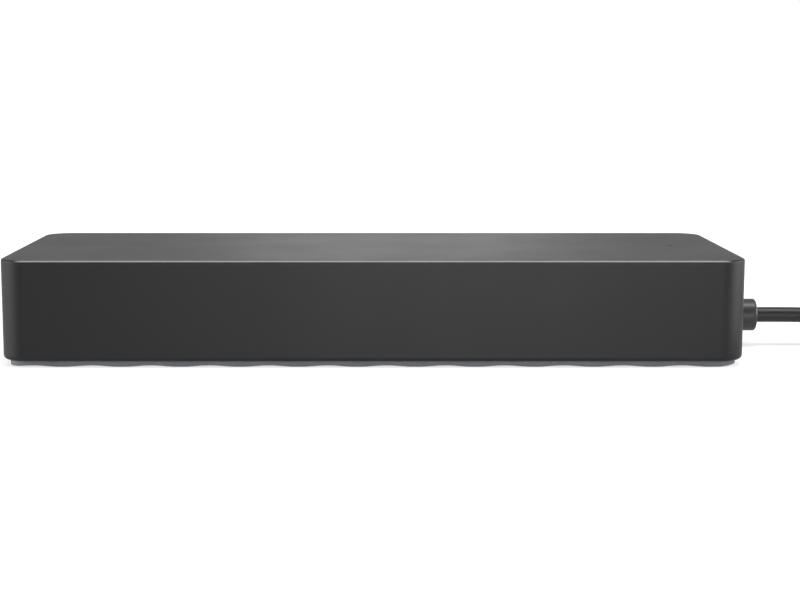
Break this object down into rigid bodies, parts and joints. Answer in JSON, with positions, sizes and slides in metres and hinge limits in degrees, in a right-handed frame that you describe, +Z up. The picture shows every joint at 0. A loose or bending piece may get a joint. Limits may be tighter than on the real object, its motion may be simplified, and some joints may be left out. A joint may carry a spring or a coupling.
{
  "type": "laptop docking station",
  "caption": "Slim rectangular laptop dock with a blank front, a row of sockets along its rear side, a wavy rubber foot pad and a short captive lead coiled beside it.",
  "frame": {"origin": "middle of the foot pad's resting plane, under the centre of the housing", "axes": "+X along the housing's length towards the lead, +Y towards the sockets, +Z up"},
  "size_m": [0.1987, 0.0607, 0.0191],
  "materials": {
    "housing_plastic": "fine moulded grain, satin",
    "cover_plastic": "fine moulded grain",
    "foot_rubber": "matt",
    "clear_plastic": "clear, frosted end",
    "lamp_white": "clear",
    "screw_steel": "zinc plated",
    "board_laminate": "solder mask, semi-gloss",
    "film_black": "satin film",
    "tinned_steel": "tin plated",
    "spreader_aluminium": "mill finish",
    "thermal_silicone": "soft, matt",
    "chip_resin": "fine matt resin",
    "transformer_resin": "matt resin",
    "ferrite": "sintered, matt",
    "capacitor_aluminium": "bright drawn",
    "capacitor_ceramic": "glazed ends",
    "socket_steel": "nickel plated, fine rolled grain",
    "insert_plastic": "satin",
    "tongue_plastic": "satin white",
    "contact_gold": "gold flash",
    "lamp_amber": "translucent",
    "gland_plastic": "satin soft plastic",
    "lead_jacket": "satin soft jacket",
    "wire_insulation": "satin",
    "header_plastic": "natural nylon",
    "tie_fabric": "woven hook and loop tape",
    "plug_steel": "nickel plated"
  },
  "bodies": {
    "dock": {"housing": "housing_plastic", "bottom_cover": "cover_plastic", "foot_pad": "foot_rubber", "light_pipe": "clear_plastic", "status_led": "lamp_white", "cover_screws": "screw_steel", "board_screws": "screw_steel", "main_board": "board_laminate", "insulating_sheet": "film_black", "shield_can": "tinned_steel", "heat_spreader": "spreader_aluminium", "thermal_pads": "thermal_silicone", "hub_chip": "chip_resin", "video_chip": "chip_resin", "network_chip": "chip_resin", "power_chip": "chip_resin", "memory_chips": "chip_resin", "network_transformer": "transformer_resin", "inductors": "ferrite", "bulk_capacitors": "capacitor_aluminium", "chip_capacitors": "capacitor_ceramic", "crystals": "tinned_steel", "network_jack_shell": "socket_steel", "network_jack_insert": "insert_plastic", "network_jack_lamps": "lamp_amber", "video_socket_b_shell": "socket_steel", "video_socket_b_tongue": "insert_plastic", "video_socket_b_contacts": "contact_gold", "video_socket_a_shell": "socket_steel", "video_socket_a_tongue": "insert_plastic", "video_socket_a_contacts": "contact_gold", "type_a_socket_1_shell": "socket_steel", "type_a_socket_1_tongue": "tongue_plastic", "type_a_socket_2_shell": "socket_steel", "type_a_socket_2_tongue": "tongue_plastic", "type_c_socket_1_shell": "socket_steel", "type_c_socket_1_tongue": "insert_plastic", "type_c_socket_1_contacts": "contact_gold", "type_c_socket_2_shell": "socket_steel", "type_c_socket_2_tongue": "insert_plastic", "type_c_socket_2_contacts": "contact_gold", "lead_gland": "gland_plastic", "lead_jacket_end": "lead_jacket", "lead_ferrule": "tinned_steel", "lead_wires": "wire_insulation", "wire_header": "header_plastic", "lead_run": "lead_jacket", "lead_coil": "lead_jacket", "lead_tail": "lead_jacket", "lead_tie": "tie_fabric", "plug_grip": "gland_plastic", "plug_shell": "plug_steel", "plug_insert": "insert_plastic", "plug_contacts": "contact_gold"},
    "network_contacts": {"network_jack_contacts": "contact_gold"},
    "type_a_contacts_1": {"type_a_socket_1_contacts": "contact_gold"},
    "type_a_contacts_2": {"type_a_socket_2_contacts": "contact_gold"}
  },
  "joints": [
    {"name": "network_contacts_flex", "type": "hinge", "parent": "dock", "child": "network_contacts", "pos_m": [-0.05029, 0.0215, 0.0056], "axis": [1, 0, 0], "range_deg": [0, 11], "stiffness_Nm_per_rad": 0.4},
    {"name": "type_a_contacts_1_flex", "type": "hinge", "parent": "dock", "child": "type_a_contacts_1", "pos_m": [0.00816, 0.0137, 0.01052], "axis": [1, 0, 0], "range_deg": [0, 4.5], "stiffness_Nm_per_rad": 0.4},
    {"name": "type_a_contacts_2_flex", "type": "hinge", "parent": "dock", "child": "type_a_contacts_2", "pos_m": [0.02546, 0.0137, 0.01052], "axis": [1, 0, 0], "range_deg": [0, 4.5], "stiffness_Nm_per_rad": 0.4}
  ]
}
